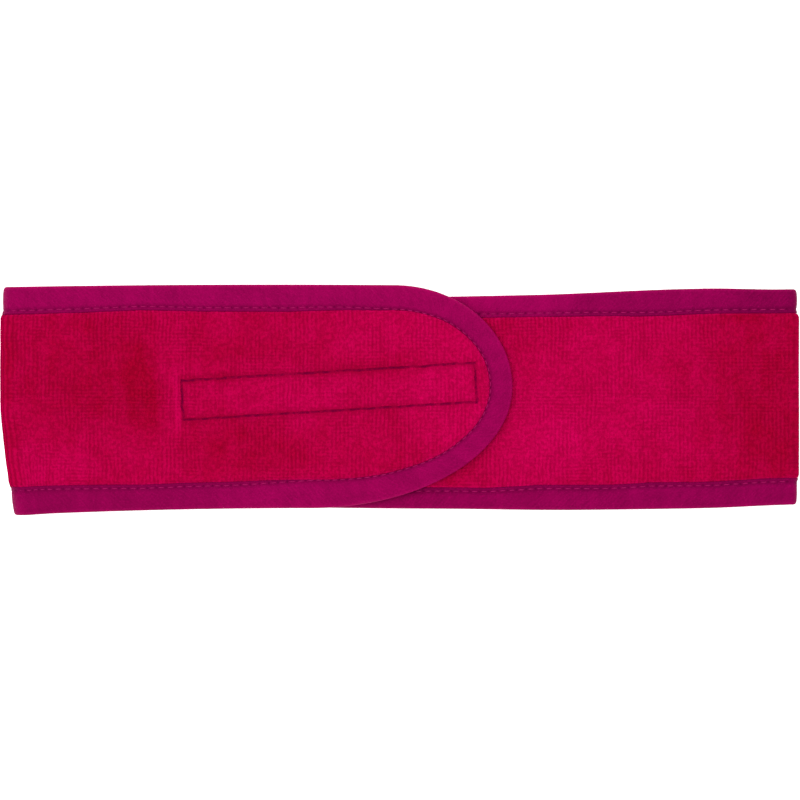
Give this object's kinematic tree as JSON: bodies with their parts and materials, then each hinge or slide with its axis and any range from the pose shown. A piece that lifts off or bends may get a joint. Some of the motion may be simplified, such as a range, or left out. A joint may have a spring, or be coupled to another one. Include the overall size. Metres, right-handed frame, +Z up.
{
  "type": "towelling headband",
  "caption": "Wrap-around towelling headband with bound edges, closed flat by a hook-and-loop flap that opens at its fold.",
  "frame": {"origin": "middle of the closed band's length and width, on the surface that it lies on", "axes": "+X along the band from the left fold to the right fold, +Y across the band, +Z up through its layers"},
  "size_m": [0.27, 0.0779, 0.0086],
  "materials": {
    "towelling": "soft velour pile",
    "binding": "matt woven bias tape",
    "thread": "slightly glossy sewing thread",
    "hook_tape": "woven nylon with hooks",
    "loop_tape": "brushed nylon loops"
  },
  "bodies": {
    "band": {"towelling_band": "towelling", "binding_band": "binding", "binding_needle_thread_band": "thread", "binding_bobbin_thread_band": "thread", "loop_tape": "loop_tape", "loop_tape_thread": "thread"},
    "left_fold": {"towelling_left_fold": "towelling", "binding_left_fold_top": "binding", "binding_left_fold_bottom": "binding", "binding_thread_left_fold_top": "thread", "binding_thread_left_fold_bottom": "thread"},
    "flap": {"towelling_flap": "towelling", "binding_flap": "binding", "binding_needle_thread_flap": "thread", "binding_bobbin_thread_flap": "thread", "hook_tape": "hook_tape", "hook_tape_thread": "thread"}
  },
  "joints": [
    {"name": "flap_open", "type": "hinge", "parent": "band", "child": "left_fold", "pos_m": [-0.13225, 0, 0.0026], "axis": [0, -1, 0], "range_deg": [0, 90]},
    {"name": "flap_follow", "type": "hinge", "parent": "left_fold", "child": "flap", "pos_m": [-0.13225, 0, 0.006], "axis": [0, -1, 0], "range_deg": [0, 90]}
  ],
  "couplings": [
    {"joint": "flap_follow", "follows": "flap_open", "ratio": 1}
  ]
}
